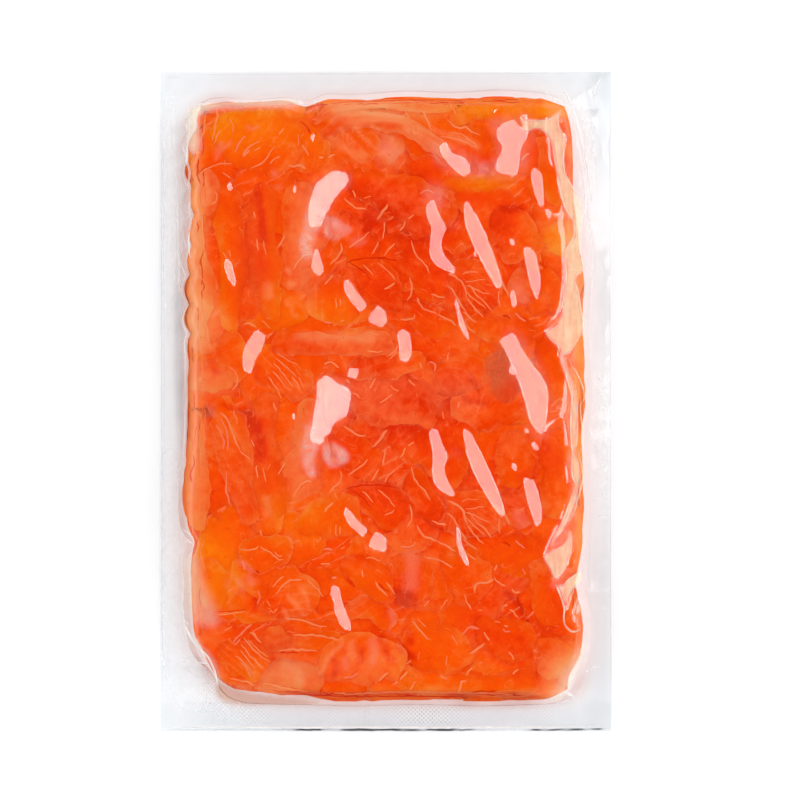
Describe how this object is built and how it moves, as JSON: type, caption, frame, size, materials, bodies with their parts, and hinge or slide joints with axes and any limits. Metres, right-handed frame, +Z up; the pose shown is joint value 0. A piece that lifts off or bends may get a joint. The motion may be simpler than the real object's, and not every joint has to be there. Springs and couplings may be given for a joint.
{
  "type": "smoked salmon trimmings, vacuum packed",
  "caption": "Flat vacuum pouch of smoked salmon trimmings: pressed orange fish slices sealed tight between two clear films with a flat border all round.",
  "frame": {"origin": "middle of the pouch's outline, on the surface that it lies on", "axes": "+Z up out of the clear upper film, +Y along the pouch away from its wide knurled border, +X to the right seen from above"},
  "size_m": [0.205, 0.3, 0.0219],
  "materials": {
    "salmon_under_film": "orange salmon flesh seen through tight clear film, wet gloss",
    "salmon_flesh": "moist orange fish flesh with thin pale fat lines, translucent at thin edges",
    "clear_film": "clear, slightly milky pouch film, glossy and finely wrinkled, with a knurled band at one end"
  },
  "bodies": {
    "root": {"sealed_pouch": "salmon_under_film"}
  },
  "joints": []
}
